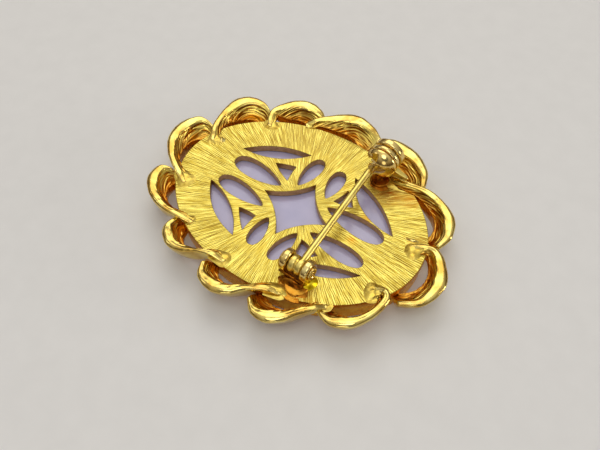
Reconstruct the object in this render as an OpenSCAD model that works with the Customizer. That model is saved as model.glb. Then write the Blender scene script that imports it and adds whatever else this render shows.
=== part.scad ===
// Oval porcelain brooch lying face down: pierced back plate, a border of twelve cast leaves,
// a domed porcelain oval behind the plate, a hinged pin and a safety catch with a roller.
// X runs along the oval, Y across it from the hinge to the catch, Z up from the surface it lies on.

/* [Back plate] */
// Length of the oval back plate along X
plate_l = 40; // [38:0.5:42]
// Width of the oval back plate along Y
plate_w = 29.6; // [28:0.4:31]
// Thickness of the back plate
plate_t = 1.2; // [0.8:0.1:1.5]
// Height of the plate's top face over the surface that the leaves lie on
back_z = 4.2; // [4:0.1:5]

/* [Porcelain] */
// How far the porcelain's edge stays inside the plate's edge
porcelain_inset = 1; // [0.9:0.1:1.4]
// Thickness of the porcelain at its edge
porcelain_edge = 1; // [0.6:0.1:1.2]
// How far the porcelain's dome stays above the surface
dome_clear = 0.12; // [0.05:0.01:0.4]

/* [Leaf border] */
// Height of a leaf's polished rim over the plate's top face
rim_h = 1; // [0.6:0.1:1.3]
// Width of a leaf's polished rim
rim_w = 1.1; // [0.7:0.1:1.4]
// Height of the cast ribs inside a leaf
rib_h = 0.12; // [0:0.02:0.2]
// Wall of the ring that holds the porcelain
ring_wall = 0.65; // [0.5:0.05:0.8]

/* [Pin and hinge] */
// Diameter of the pin wire
pin_d = 1; // [0.8:0.02:1]
// Height of the hinge axis over the plate's top face
hinge_z = 2.2; // [2:0.1:2.6]
// Radius of the bracket's round ears
ear_r = 1.65; // [1.4:0.05:1.8]
// Thickness of an ear
ear_t = 1.1; // [0.8:0.1:1.2]
// Diameter of the rivet
rivet_d = 1; // [0.8:0.05:1.1]

/* [Catch] */
// Outer radius of the catch's rings
catch_r = 2.5; // [2.3:0.1:2.6]
// Height of the catch's axis over the plate's top face
catch_z = 3.3; // [3.2:0.1:3.6]
// Inner radius of the fixed rings
catch_bore_r = 1.85; // [1.7:0.05:1.95]
// Inner radius of the roller, where the closed pin lies
roller_bore_r = 1.25; // [1.1:0.05:1.35]
// Width of the mouth in degrees
mouth_deg = 66; // [56:2:72]

/* [Hidden] */
$fn = 64;
gap = 0.05;
embed = 0.3;
gold = "#E2C654";
plate_gold = "#E6D070";
glaze = "#B4ACC8";

// The oval's centre in the object's own frame, so that the origin is under the middle of the box
centre_x = 0.05;
centre_y = -0.4;

oval_sides = 120;
plate_a = plate_l / 2;
plate_b = plate_w / 2;
porcelain_a = plate_a - porcelain_inset;
porcelain_b = plate_b - porcelain_inset;

// Pierced pattern, in millimetres from the oval's centre.
// Petals: point x, point y, round end x, round end y, half width
PETALS = [
    [-4.3, 1.5, -12.95, 1.9, 1.6],
    [-4.3, -3.1, -12.75, -2.3, 1.45],
    [3.8, 2, 13.5, 1.4, 1.6],
    [4.2, -3.1, 13.2, -3.6, 1.4],
    [-2.2, 3, -1.75, 9.05, 1.22],
    [2.6, 3.3, 2, 8.85, 1.2],
    [-2.3, -4.4, -1.8, -9.6, 1.1],
    [2.7, -4.3, 1.9, -10, 1.15],
];
petal_steps = 12;
petal_rise = 0.75;
petal_fall = 0.45;

// Curved holes: corners in order, then how far each side bows out, less than zero for inwards
CURVED_HOLES = [
    [[[-5.7, -0.6], [0.2, -6.1], [5.4, -0.7], [0, 4.5]], [-0.72, -0.72, -0.65, -0.68]],
    [[[-13.3, 4.1], [-3.8, 8.9]], [1.25, 1.1]],
    [[[-4.7, -9.7], [-13.5, -3.6]], [1.25, 1.25]],
    [[[4.2, 9], [14.2, 3]], [1.75, 1.05]],
    [[[4.3, -9.5], [13.9, -5.1]], [1.1, 0.8]],
    [[[-7.4, 4.6], [-4, 2.8], [-4.4, 5.7]], [0.15, -0.1, 0.1]],
    [[[-6.9, -5.3], [-4.1, -8.2], [-4, -5.2]], [0.1, -0.1, 0.15]],
    [[[6.8, 4.1], [4.6, 6.3], [3.9, 3.5]], [0.15, -0.1, 0.15]],
    [[[7.2, -5.8], [3.9, -4.8], [4.3, -8]], [0.15, -0.1, 0.15]],
];
side_steps = 10;

// The twelve leaves, clockwise seen from the back, in millimetres from the oval's centre: plan
// points on the outer edge of each rim.
// columns: tail's tip, neck, rise, crown, fall, corner, wide end
LEAVES = [
    [[-10.9, -11.8], [-13.3, -12.2], [-16.5, -12.2], [-19.5, -10.9], [-21.4, -8.7], [-21.5, -6.1], [-20.2, -5.3]],
    [[-16.7, -6.6], [-19, -5.6], [-21.9, -3.7], [-24.1, -0.9], [-24.4, 2.5], [-22.9, 5.3], [-20.3, 5.3]],
    [[-18.6, 2.6], [-19.8, 4.6], [-20.5, 8], [-20.4, 11.3], [-18.8, 13.2], [-16.3, 13.7], [-14.6, 13]],
    [[-13, 10.1], [-14.2, 12.5], [-13.2, 15.3], [-11.3, 17.3], [-9.2, 17.8], [-7.4, 17.4], [-6.6, 16.9]],
    [[-8.1, 13.9], [-7.2, 15.3], [-5.5, 17.2], [-3.6, 18.9], [-1.3, 19.7], [1.4, 19.1], [3.2, 18.1]],
    [[4.4, 14], [3.5, 16.7], [4.9, 18.3], [7.4, 18.6], [10.1, 17.9], [12.7, 15.9], [13.7, 13.5]],
    [[8.7, 12.3], [11.4, 12.4], [14.8, 12.8], [17.9, 11.9], [20.3, 10.1], [21.3, 7.3], [20.7, 5.1]],
    [[17.2, 3], [18.8, 4], [21.1, 4.1], [23.3, 2], [24.4, -0.7], [23.3, -4.4], [20.5, -6.1]],
    [[16.5, -5.6], [18, -5.2], [19.3, -6.5], [18.9, -9.6], [17.2, -12.7], [14.4, -14], [12, -13.1]],
    [[12.9, -12.2], [12, -13.4], [10.6, -15.1], [9.3, -17.1], [7.4, -18.5], [5, -18.4], [3.3, -16.8]],
    [[6.4, -14.1], [4.7, -14.8], [2.6, -16.2], [0.9, -18], [-1.6, -18.9], [-4.3, -18], [-5.5, -15.9]],
    [[-3, -14.3], [-4.7, -14.6], [-6.8, -15.3], [-9, -16.5], [-11.4, -16.5], [-13.5, -14.5], [-13.6, -12.3]],
];
leaf_count = len(LEAVES);

// Every leaf's section at those seven places. The inner edge follows the plate's edge, part of the
// way along from the leaf before (0) to this leaf's end (1) and so far outside it; hold 1 keeps it
// at the tail's width instead. Heights are over the plate's top face; tuck 1 draws the front in most.
// columns: along, outside, hold, rim height, lip height, underside, tuck
STATIONS = [
    [0, 0, 1, 0.45, 0.3, 0.07, 0],
    [0.08, -0.2, 1, 0.85, 0.25, -0.9, 0.1],
    [0.3, 0.9, 0.1, 1, -0.45, -2.5, 0.55],
    [0.48, 1.4, 0, 1, -0.85, -3, 1],
    [0.64, 1.2, 0, 0.95, -0.95, -3.1, 1],
    [0.78, 0.3, 0, 0.65, -1.2, -3, 0.9],
    [0.86, -0.5, 0, 0.2, -1.5, -2.9, 0.7],
];
leaf_steps = 18;
tail_w = 1.35;

pin_x = 7.17;
hinge_y = -9.75;
coil_pitch = 1.08;
coil_t = 1.02;
coil_r = 1.3;
coil_x = pin_x - coil_pitch / 2;
ear_in = 1.14;
stem_z = 2.97;
tip_x = 6.1;
tip_y = 10.36;
tip_z = 2.7;
tip_len = 1.2;
root_len = 2.4;
root_grow = 0.04;
tip_r = 0.14;
pin_bore_r = rivet_d / 2 + 0.06;
ear_bore_r = rivet_d / 2 + 0.02;
head_r = 1.08;
head_t = 0.28;
hinge_foot = [7.6, -11.4];
hinge_foot_r = 1.8;
foot_t = 0.42;
scoop_r = 1.95;
scoop_wall = 0.35;

catch_x = 6.95;
front_y = 10.6;
front_len = 0.84;
middle_y = 11.54;
middle_len = 1.16;
back_y = 12.8;
back_len = 1.2;
mouth_mid = 183;
hook_deg = 140;
hook_r = 0.6;
roller_fit = 0.05;
roller_front = 10.86;
roller_len = 3;
knob_y = 9.45;
knob_r = 2.4;
slot_x = [-1.5, -0.2];
slot_y = 10.5;
catch_foot = [7.43, 10.65];
catch_foot_r = 1.45;

function lerp(a, b, f) = a + (b - a) * f;
function on_oval(a, b, t) = [a * cos(t), b * sin(t)];

// Points along one side of a hole, bowed out by its rise; the side's last point is the next side's first
function side(a, b, rise) =
    let (d = b - a, n = [d[1], -d[0]] / norm(d))
    [for (i = [0:side_steps - 1]) let (f = i / side_steps) lerp(a, b, f) + n * 4 * rise * f * (1 - f)];
function hole_points(corners, rises) =
    [for (i = [0:len(corners) - 1]) each side(corners[i], corners[(i + 1) % len(corners)], rises[i])];
petal_peak = pow(petal_rise / (petal_rise + petal_fall), petal_rise)
    * pow(petal_fall / (petal_rise + petal_fall), petal_fall);
function petal_half(f) = pow(f, petal_rise) * pow(1 - f, petal_fall) / petal_peak;
// Steps close up towards both ends, where the outline turns fastest
function petal_step(i) = (1 - cos(180 * i / petal_steps)) / 2;
function petal_points(row) =
    let (a = [row[0], row[1]], b = [row[2], row[3]], d = (b - a) / norm(b - a), n = [-d[1], d[0]])
    concat(
        [for (i = [0:petal_steps]) let (f = petal_step(i)) lerp(a, b, f) + n * row[4] * petal_half(f)],
        [for (i = [petal_steps - 1:-1:1]) let (f = petal_step(i)) lerp(a, b, f) - n * row[4] * petal_half(f)]
    );

module oval(a, b, h) {
    linear_extrude(h) polygon([for (i = [0:oval_sides - 1]) on_oval(a, b, 360 * i / oval_sides)]);
}

module pierced_plate() {
    difference() {
        translate([0, 0, -plate_t]) oval(plate_a, plate_b, plate_t);
        translate([0, 0, -plate_t - 1]) {
            for (row = PETALS) linear_extrude(plate_t + 2) polygon(petal_points(row));
            for (h = CURVED_HOLES) linear_extrude(plate_t + 2) polygon(hole_points(h[0], h[1]));
        }
    }
}

module along_x(x, len, r) {
    translate([x, hinge_y, hinge_z]) rotate([0, 90, 0]) cylinder(r = r, h = len);
}

module ear(x) {
    along_x(x, ear_t, ear_r);
    translate([x, hinge_y - ear_r * 0.72, -embed]) cube([ear_t, ear_r * 1.44, hinge_z + embed]);
}

ear_left = coil_x - ear_in - ear_t;
ear_right = coil_x + ear_in;

module hinge_bracket() {
    difference() {
        union() {
            ear(ear_left);
            ear(ear_right);
            translate([ear_left, hinge_y - 1.1, -embed]) cube([ear_right + ear_t - ear_left, 2.2, 0.7 + embed]);
            translate([hinge_foot[0], hinge_foot[1], -embed]) cylinder(r = hinge_foot_r, h = foot_t + embed);
            intersection() {
                difference() {
                    along_x(ear_left, ear_right + ear_t - ear_left, scoop_r);
                    along_x(ear_left - 1, ear_right + ear_t - ear_left + 2, scoop_r - scoop_wall);
                }
                translate([ear_left, hinge_y - 3, 0.1])
                    cube([ear_right + ear_t - ear_left, 2.6, hinge_z - 0.6]);
            }
        }
        along_x(ear_left - 1, ear_right + ear_t - ear_left + 2, ear_bore_r);
    }
}

// Corners of a box with its four corners rounded in steps
function rounded_box(x0, y0, x1, y1, r) =
    [for (c = [[x1 - r, y1 - r, 0], [x0 + r, y1 - r, 90], [x0 + r, y0 + r, 180], [x1 - r, y0 + r, 270]],
        t = [0:30:90]) [c[0] + r * cos(c[2] + t), c[1] + r * sin(c[2] + t)]];

// A ring round the catch's axis with rounded edges, open over the mouth
module catch_ring(y, len) {
    translate([catch_x, y, catch_z]) rotate([-90, 0, 0]) difference() {
        rotate_extrude() polygon(rounded_box(catch_bore_r, 0, catch_r, len, 0.22));
        translate([0, 0, -1]) linear_extrude(len + 2) polygon(mouth_wedge(-1));
    }
}

// Wedge over the mouth, as seen along the axis; turn is -1 where the axis points the other way
function mouth_wedge(turn) =
    [[0, 0], for (t = [-1, 1]) 4 * [cos(mouth_mid + t * mouth_deg / 2), turn * sin(mouth_mid + t * mouth_deg / 2)]];

// The rounded knob before the front ring, slotted where the pin swings up past it
module catch_knob() {
    difference() {
        translate([catch_x, knob_y + knob_r, catch_z]) sphere(r = knob_r, $fn = 96);
        translate([catch_x - 4, roller_front - 0.08, catch_z - 4]) cube(8);
        translate([catch_x + slot_x[0], knob_y - 1, catch_z - 1.4])
            cube([slot_x[1] - slot_x[0], slot_y - knob_y + 1, 5]);
        translate([catch_x, knob_y - 1, catch_z]) rotate([-90, 0, 0])
            linear_extrude(4) polygon(mouth_wedge(-1));
    }
}

module catch_body() {
    catch_ring(front_y, front_len);
    catch_knob();
    catch_ring(back_y, back_len);
    hook_mid = (catch_r + catch_bore_r) / 2;
    difference() {
        translate([catch_x + hook_mid * cos(hook_deg), front_y + 0.2, catch_z + hook_mid * sin(hook_deg)])
            rotate([90, 0, 0]) sphere(r = hook_r, $fn = 48);
        translate([catch_x, front_y - 1, catch_z]) rotate([-90, 0, 0]) cylinder(r = catch_bore_r + 0.1, h = 3);
    }
    translate([catch_x - 0.85, front_y + 0.05, -embed]) cube([1.7, 2.75, 0.7 + embed]);
    translate([catch_x - 0.75, front_y + 0.08, 0]) cube([1.5, front_len - 0.16, catch_z - catch_r + 0.3]);
    translate([catch_x - 0.75, back_y + 0.08, 0]) cube([1.5, 0.5, catch_z - catch_r + 0.3]);
    translate([catch_foot[0], catch_foot[1], -embed]) cylinder(r = catch_foot_r, h = foot_t + embed);
}

module back_plate() color(plate_gold) {
    pierced_plate();
    hinge_bracket();
    catch_body();
}

// Smooth curve through a table's rows at s from 0 to 1
function spline(p, q, r, s, t) =
    0.5 * (2 * q + (r - p) * t + (2 * p - 5 * q + 4 * r - s) * t * t + (3 * q - p - 3 * r + s) * t * t * t);
function row_at(tab, s) =
    let (n = len(tab) - 1, k = min(floor(s * n), n - 1), t = s * n - k)
    spline(tab[max(k - 1, 0)], tab[k], tab[k + 1], tab[min(k + 2, n)], t);

// Angle of a plan point as the oval's parameter, and the plan point at an angle and a distance outside
function oval_angle(p) = atan2(p[1] / plate_b, p[0] / plate_a);
function edge_point(t, out) =
    let (e = on_oval(plate_a, plate_b, t), n = [plate_b * cos(t), plate_a * sin(t)])
    e + n / norm(n) * out;
function clockwise(a, b) = let (d = b - a) d > 0 ? a + (d - 360) : b;

// A section of a leaf from the outer point o to the inner point i: rim, front, lip and ribbed cup
function section(o, i, rim, lip, under, tuck) =
    let (
        w = max(norm(i - o), 0.3),
        r = min(rim_w / w, 0.5),
        body = rim - under,
        cup = lip - 0.3 * min(1, body / 4),
        outer = [
            [0.34 * r, rim], [0.08 * r, rim - 0.05 * body], [0, rim - 0.13 * body],
            [lerp(0.03, 0.13, tuck), rim - 0.4 * body], [lerp(0.16, 0.38, tuck), rim - 0.73 * body],
            [lerp(0.4, 0.66, tuck), rim - 0.94 * body], [0.88, under],
        ],
        inner = [
            [1, lerp(under, lip, 0.35)], [1, lip], [lerp(1, r, 0.18), lerp(cup, lip, 0.3) + rib_h],
            [lerp(1, r, 0.38), cup], [lerp(1, r, 0.6), lerp(cup, rim, 0.25) + rib_h],
            [lerp(1, r, 0.82), lerp(cup, rim, 0.5)], [r, lerp(cup, rim, 0.86)], [0.72 * r, rim - 0.03 * body],
        ]
    )
    [for (p = concat(outer, inner)) [lerp(o[0], i[0], p[0]), lerp(o[1], i[1], p[0]), p[1]]];

function leaf_rings(k) =
    let (
        line = LEAVES[k],
        ta = oval_angle(LEAVES[(k + leaf_count - 1) % leaf_count][6]),
        tb = clockwise(ta, oval_angle(line[6]))
    )
    [for (j = [0:leaf_steps])
        let (
            s = j / leaf_steps,
            row = row_at(STATIONS, s),
            o = row_at(line, s),
            d = row_at(line, min(s + 0.02, 1)) - row_at(line, max(s - 0.02, 0)),
            held = o + [d[1], -d[0]] / norm(d) * tail_w * (0.62 + 0.38 * min(1, s * 9)),
            free = edge_point(lerp(ta, tb, row[0]), row[1])
        )
        section(o, lerp(free, held, max(0, min(1, row[2]))), row[3] * rim_h, row[4], row[5], row[6])];

module leaf(k) {
    rings = leaf_rings(k);
    m = len(rings[0]);
    last = len(rings) - 1;
    polyhedron(
        points = [for (ring = rings) each ring],
        faces = concat(
            [[for (p = [m - 1:-1:0]) p]],
            [[for (p = [0:m - 1]) last * m + p]],
            [for (j = [0:last - 1], p = [0:m - 1])
                let (a = j * m + p, b = j * m + (p + 1) % m) each [[a, b, a + m], [b, b + m, a + m]]]
        )
    );
}

// The tail's rounded end, where the leaf is fastened
module tail_end(k) {
    line = LEAVES[k];
    d = (line[0] - line[1]) / norm(line[0] - line[1]);
    mid = line[0] + [-d[1], d[0]] * 0.47;
    r = 0.3;
    hull() for (p = [mid - d * 0.7, mid + d * 0.06])
        translate([p[0], p[1], gap + 0.02 + r]) sphere(r = r, $fn = 10);
}

ring_top = -plate_t - gap;
lip_z = ring_top - porcelain_edge - 0.75;

module bezel_ring() {
    difference() {
        translate([0, 0, -back_z]) oval(plate_a - 0.25, plate_b - 0.25, ring_top + back_z);
        translate([0, 0, lip_z]) oval(plate_a - 0.25 - ring_wall, plate_b - 0.25 - ring_wall, 9);
        translate([0, 0, lip_z - 2]) oval(plate_a - 1.9, plate_b - 1.9, 9);
    }
}

module leaf_border() color(gold) {
    difference() {
        union() {
            for (k = [0:leaf_count - 1]) {
                leaf(k);
                tail_end(k);
            }
            bezel_ring();
        }
        translate([0, 0, -plate_t - gap]) oval(plate_a + gap, plate_b + gap, plate_t + 2 * gap);
    }
}

module porcelain() color(glaze) {
    dome = back_z - plate_t - 2 * gap - porcelain_edge - dome_clear;
    translate([0, 0, -plate_t - 2 * gap - porcelain_edge]) {
        scale([1, porcelain_b / porcelain_a, 1]) cylinder(r = porcelain_a, h = porcelain_edge);
        intersection() {
            scale([1, porcelain_b / porcelain_a, dome / porcelain_a]) sphere(r = porcelain_a, $fn = 128);
            translate([-plate_a, -plate_b, -back_z]) cube([plate_l, plate_w, back_z + 0.2]);
        }
    }
}

module hinge_rivet() color(gold) {
    along_x(ear_left - gap, ear_right + ear_t - ear_left + 2 * gap, rivet_d / 2);
    for (side = [0, 1]) translate([side ? ear_right + ear_t + 0.02 : ear_left - 0.02, hinge_y, hinge_z])
        rotate([0, side ? 90 : -90, 0]) {
            cylinder(r = head_r, h = head_t * 0.5);
            translate([0, 0, head_t * 0.5 - 0.001]) cylinder(r1 = head_r, r2 = head_r * 0.55, h = head_t * 0.5);
        }
}

module pin_stem() color(gold) {
    stem = [tip_x - pin_x, tip_y - hinge_y, tip_z - stem_z];
    reach = norm(stem);
    difference() {
        union() {
            for (i = [0, 1]) along_x(pin_x - coil_t / 2 - i * coil_pitch, coil_t, coil_r);
            along_x(pin_x - coil_pitch, coil_pitch, coil_r - 0.2);
            translate([pin_x, hinge_y, stem_z])
                rotate([0, acos(stem[2] / reach), atan2(stem[1], stem[0])]) {
                    cylinder(r1 = pin_d / 2 + root_grow, r2 = pin_d / 2, h = root_len);
                    translate([0, 0, root_len - 0.001])
                        cylinder(r = pin_d / 2, h = reach - tip_len - root_len + 0.001);
                    translate([0, 0, reach - tip_len - 0.001])
                        cylinder(r1 = pin_d / 2, r2 = tip_r, h = tip_len - tip_r);
                    translate([0, 0, reach - tip_r]) sphere(r = tip_r, $fn = 24);
                }
        }
        along_x(pin_x - 5, 10, pin_bore_r);
    }
}

module catch_roller() color(gold) {
    outer = catch_bore_r - roller_fit;
    lever = [[1.1, -1.9], [1.9, -0.8], [2.3, -0.95], [4.2, -1.5], [4.32, -1.72], [4.1, -2.02], [1.7, -2.2]];
    translate([catch_x, 0, catch_z]) difference() {
        union() {
            translate([0, roller_front, 0]) rotate([-90, 0, 0]) cylinder(r = outer, h = roller_len);
            translate([0, middle_y, 0]) rotate([-90, 0, 0]) cylinder(r = catch_r - 0.04, h = middle_len);
            translate([0, middle_y + 0.13 + 0.9, 0]) rotate([90, 0, 0]) linear_extrude(0.9) polygon(lever);
        }
        translate([0, roller_front - 1, 0]) rotate([-90, 0, 0]) cylinder(r = roller_bore_r, h = roller_len + 2);
        translate([0, roller_front + roller_len + 1, 0]) rotate([90, 0, 0]) linear_extrude(roller_len + 2)
            polygon(mouth_wedge(1));
    }
}

module placed() {
    translate([centre_x, centre_y, back_z]) children();
}

placed() back_plate();
placed() leaf_border();
placed() porcelain();
placed() hinge_rivet();
placed() pin_stem();
placed() catch_roller();
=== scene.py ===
import math
import bpy
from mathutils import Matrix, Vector, noise


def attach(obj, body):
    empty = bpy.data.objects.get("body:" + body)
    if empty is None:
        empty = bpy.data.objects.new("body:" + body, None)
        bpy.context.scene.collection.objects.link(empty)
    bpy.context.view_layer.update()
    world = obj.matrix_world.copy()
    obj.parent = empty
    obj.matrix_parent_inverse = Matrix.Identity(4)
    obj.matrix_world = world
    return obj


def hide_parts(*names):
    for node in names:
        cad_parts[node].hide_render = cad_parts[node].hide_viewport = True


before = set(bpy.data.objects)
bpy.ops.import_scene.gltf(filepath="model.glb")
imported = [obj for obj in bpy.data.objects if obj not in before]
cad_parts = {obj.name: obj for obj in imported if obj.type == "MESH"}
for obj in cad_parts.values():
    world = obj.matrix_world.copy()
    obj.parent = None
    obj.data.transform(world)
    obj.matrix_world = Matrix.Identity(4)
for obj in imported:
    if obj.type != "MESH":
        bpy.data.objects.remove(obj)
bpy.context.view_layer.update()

print("packed frame loaded")

mm = 0.001
# the oval's centre, and the height of the plate's back, mm
brooch = {"centreX": 0.05, "centreY": -0.4, "backZ": 4.2}


def toFrame(p):  # from millimetres round the oval's centre to metres in the shared frame
    return ((p[0] + brooch["centreX"]) * mm, (p[1] + brooch["centreY"]) * mm, (p[2] + brooch["backZ"]) * mm)


def lerp(a, b, f):
    return a + (b - a) * f


def within(value):  # kept between 0 and 1
    return max(0.0, min(1.0, value))


def polar(r, degrees):
    return r * math.cos(math.radians(degrees)), r * math.sin(math.radians(degrees))


def ovalPoints(a, b, steps):
    turns = [2 * math.pi * k / steps for k in range(steps)]
    return [(a * math.cos(t), b * math.sin(t)) for t in turns]


# Camera, standing where the photograph's camera stood; places in mm in the shared frame
cameraView = {"stand": (35.25, -50.7, 86.5), "aim": (2.3, -3.27, 4.2), "lens": 42}

cameraData = bpy.data.cameras.new("photoView")
camera = bpy.data.objects.new("photoView", cameraData)
bpy.context.scene.collection.objects.link(camera)
stand, aim = Vector(cameraView["stand"]), Vector(cameraView["aim"])
camera.location = stand * mm
camera.rotation_euler = (aim - stand).to_track_quat("-Z", "Y").to_euler()
cameraData.lens = cameraView["lens"]
cameraData.clip_start = 0.005
cameraData.clip_end = 5
bpy.context.scene.camera = camera
print("camera set")


# Materials

def hexLinear(text):
    parts = [int(text[i:i + 2], 16) / 255 for i in (1, 3, 5)]
    return tuple(c / 12.92 if c <= 0.04045 else ((c + 0.055) / 1.055) ** 2.4 for c in parts) + (1.0,)


def addNode(tree, kind, inputs=None, **settings):
    # each input is a plain value, a socket, or a node that stands for its first output
    node = tree.nodes.new("ShaderNode" + kind)
    for key, value in settings.items():
        setattr(node, key, value)
    for key, value in (inputs or {}).items():
        if isinstance(value, bpy.types.Node):
            value = value.outputs[0]
        if isinstance(value, bpy.types.NodeSocket):
            tree.links.new(value, node.inputs[key])
        else:
            node.inputs[key].default_value = value
    return node


def addRange(tree, source, start, end, low=0.0, high=1.0):
    inputs = {"Value": source, "From Min": start, "From Max": end, "To Min": low, "To Max": high}
    return addNode(tree, "MapRange", inputs)


def addRamp(tree, source, stops):
    node = addNode(tree, "ValToRGB", {"Fac": source})
    elements = node.color_ramp.elements
    while len(elements) < len(stops):
        elements.new(0.5)
    for element, (place, colour) in zip(elements, stops):
        element.position = place
        element.color = hexLinear(colour)
    return node


def addBump(tree, source, strength, deepMm, over=None):
    inputs = {"Height": source, "Strength": strength, "Distance": deepMm * mm}
    if over:
        inputs["Normal"] = over
    return addNode(tree, "Bump", inputs)


def layOver(tree, share, under, colour):  # one even colour over what lies under it
    return addNode(tree, "Mix", {0: share, 6: under, 7: hexLinear(colour)}, data_type="RGBA").outputs[2]


def newMaterial(name):
    material = bpy.data.materials.new(name)
    material.use_nodes = True
    tree = material.node_tree
    tree.nodes.clear()
    return material, tree


def closeMaterial(tree, shader):
    addNode(tree, "OutputMaterial", {"Surface": shader})


def closeMetal(tree, colour, rough, normal):
    inputs = {"Metallic": 1.0, "Base Color": colour, "Roughness": rough, "Normal": normal}
    closeMaterial(tree, addNode(tree, "BsdfPrincipled", inputs))


plateFinish = {
    "valleyShade": "#93742A", "gold": "#CAB043", "crestHighlight": "#E6D872", "roughness": 0.34,
    "innerLines": 170, "outerLines": 370, "linesPerHair": 3.2, "rippleShare": 0.075,
    "strokeLength": 3.0, "strokeDepth": 0.045, "waver": 2.6,
    # orange, brown and khaki patches, laid deepest in the strokes' valleys; round the hinge and the catch
    # they are painted shade and painted amber reflection of the fittings: x, y, radius, strength, colour
    "stainsAndShade": [
        (9.8, -0.8, 1.1, 0.5, "#C4841C"), (9.6, 3.8, 1.3, 0.5, "#C4841C"), (18.0, 4.1, 1.8, 0.6, "#A0742C"),
        (9.8, 9.3, 3.0, 0.62, "#A8641C"), (13.0, 10.0, 2.6, 0.5, "#B87820"),
        (7.9, -12.0, 3.2, 0.6, "#B4741C"), (4.4, 6.2, 1.1, 0.3, "#C4841C"), (-17.5, 3.6, 1.4, 0.5, "#A0742C"),
        (11.2, -13.2, 2.0, 0.5, "#B88428"), (-6.0, 12.0, 15.0, 0.42, "#B49848"),
    ],
}


def brushedGilt():
    # gilt brass, brushed outwards from the middle: satin glints that fan out; its colour paints shade dark in
    # the strokes' valleys and a highlight on their crests
    f = plateFinish
    material, tree = newMaterial("giltBrassBrushed")
    place = addNode(tree, "TexCoord").outputs["Object"]
    middle = (brooch["centreX"] * mm, brooch["centreY"] * mm, 0)
    flat = addNode(tree, "VectorMath", {0: place, 1: middle}, operation="SUBTRACT")
    parts = addNode(tree, "SeparateXYZ", {"Vector": flat})
    east, north = parts.outputs["X"], parts.outputs["Y"]
    level = addNode(tree, "CombineXYZ", {"X": east, "Y": north})
    radius = addNode(tree, "VectorMath", {0: level}, operation="LENGTH").outputs["Value"]
    radiusMm = addNode(tree, "Math", {0: radius, 1: mm}, operation="DIVIDE")
    heading = addNode(tree, "VectorMath", {0: level}, operation="NORMALIZE")
    along = addNode(tree, "Math", {0: radiusMm, 1: f["strokeLength"]}, operation="DIVIDE")
    lift = addNode(tree, "CombineXYZ", {"Z": along})
    turn = addNode(tree, "Math", {0: north, 1: east}, operation="ARCTAN2")
    drift = addNode(tree, "TexNoise", {"Vector": flat, "Scale": 420.0, "Detail": 1.5})
    waver = addRange(tree, drift, 0.3, 0.7, -f["waver"], f["waver"])
    outward = addRange(tree, radiusMm, 8.0, 11.5)
    pair = []
    for lines in (f["innerLines"], f["outerLines"]):
        phase = addNode(tree, "Math", {0: turn, 1: lines, 2: waver}, operation="MULTIPLY_ADD")
        ripple = addNode(tree, "Math", {0: phase}, operation="SINE")
        hairs = lines / f["linesPerHair"]
        turned = addNode(tree, "VectorMath", {0: heading, 1: (hairs, hairs, 0)}, operation="MULTIPLY")
        where = addNode(tree, "VectorMath", {0: turned, 1: lift}, operation="ADD")
        hair = addNode(tree, "TexNoise", {"Vector": where, "Scale": 1.0, "Detail": 3.0, "Roughness": 0.65,
                                          "Distortion": 0.3})
        shares = {0: ripple, 1: f["rippleShare"], 2: hair}
        pair.append(addNode(tree, "Math", shares, operation="MULTIPLY_ADD"))
    stroke = addNode(tree, "Mix", {0: outward, 2: pair[0], 3: pair[1]}, data_type="FLOAT")
    wave = addNode(tree, "TexNoise", {"Vector": flat, "Scale": 260.0, "Detail": 2.0})
    # the valley colour is painted shade in the strokes' grooves, the crest colour a painted highlight on
    # their ridges
    colour = addRamp(tree, stroke, [(0.36, f["valleyShade"]), (0.48, f["gold"]), (0.62, f["crestHighlight"])])
    patchy = addNode(tree, "TexNoise", {"Vector": flat, "Scale": 1400.0, "Detail": 3.0, "Roughness": 0.7})
    # the patches lie deeper in the strokes' valleys, as painted shade
    furrow = addRange(tree, stroke, 0.62, 0.4, 0.45, 1.9)
    for x, y, reach, strength, tintColour in f["stainsAndShade"]:
        spot = (x * mm, y * mm, 0)
        away = addNode(tree, "VectorMath", {0: level, 1: spot}, operation="DISTANCE").outputs["Value"]
        near = addRange(tree, away, reach * mm, 0.0, 0.0, strength * 2.0)
        tinted = addNode(tree, "Math", {0: near, 1: patchy}, operation="MULTIPLY")
        tinted = addNode(tree, "Math", {0: tinted, 1: furrow}, operation="MULTIPLY", use_clamp=True)
        colour = layOver(tree, tinted, colour, tintColour)
    rough = addRange(tree, stroke, 0.35, 0.65, f["roughness"] + 0.12, f["roughness"] - 0.07)
    swell = addBump(tree, wave, 0.3, 0.08)
    cut = addBump(tree, stroke, 0.75, f["strokeDepth"], swell)
    closeMetal(tree, colour, rough, cut)
    return material


def giltSurface(name, low, high, roughness, spotMm, depthMm, fleckMm=0.0, fleck="#7A4A14"):
    # one kind of gilt brass: two golds in soft patches of spotMm, a skin that undulates by depthMm
    material, tree = newMaterial(name)
    place = addNode(tree, "TexCoord").outputs["Object"]
    fine = 0.5 / (spotMm * mm)
    patch = addNode(tree, "TexNoise", {"Vector": place, "Scale": fine, "Detail": 3.0, "Roughness": 0.55})
    colour = addRamp(tree, patch, [(0.35, low), (0.65, high)])
    if fleckMm:
        pits = addNode(tree, "TexNoise", {"Vector": place, "Scale": 0.5 / (fleckMm * mm), "Detail": 2.0})
        colour = layOver(tree, addRange(tree, pits, 0.6, 0.72), colour, fleck)
    rough = addRange(tree, patch, 0.3, 0.7, roughness * 0.75, roughness * 1.3)
    closeMetal(tree, colour, rough, addBump(tree, patch, 0.6, depthMm))
    return material


# the valley colour is painted shade in the chased grooves, the ridge colour a painted highlight, and the deep
# colour painted amber: gold mirrored in gold and shade low in the hollow
leafFinish = {
    "rim": "#C8A048", "rimBright": "#F2DC80", "valleyShade": "#6E440F", "ridge": "#F6DE6C", "deep": "#C8780E",
    "lineMm": 0.3,
}


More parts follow.
